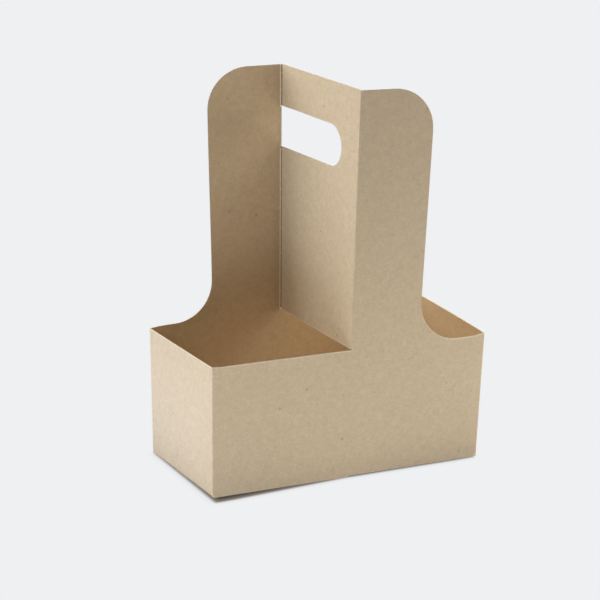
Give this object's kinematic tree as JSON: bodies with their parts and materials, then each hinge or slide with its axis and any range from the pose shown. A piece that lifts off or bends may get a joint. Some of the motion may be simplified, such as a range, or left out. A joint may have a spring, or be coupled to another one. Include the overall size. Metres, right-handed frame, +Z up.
{
  "type": "cup carrier",
  "caption": "Open box of folded kraft board for takeaway cups, with a tall Z-shaped handle: a wing at the front, a wing at the back, and a divider between them with a hand hole.",
  "frame": {"origin": "middle of the footprint, on the surface that the carrier stands on", "axes": "+Z up through the handle, +X along the carrier to its right end, -Y to the front, where the wing stands on the right"},
  "size_m": [0.18, 0.09, 0.236],
  "materials": {
    "kraft_board": "matte"
  },
  "bodies": {
    "root": {"cup_carrier": "kraft_board"}
  },
  "joints": []
}
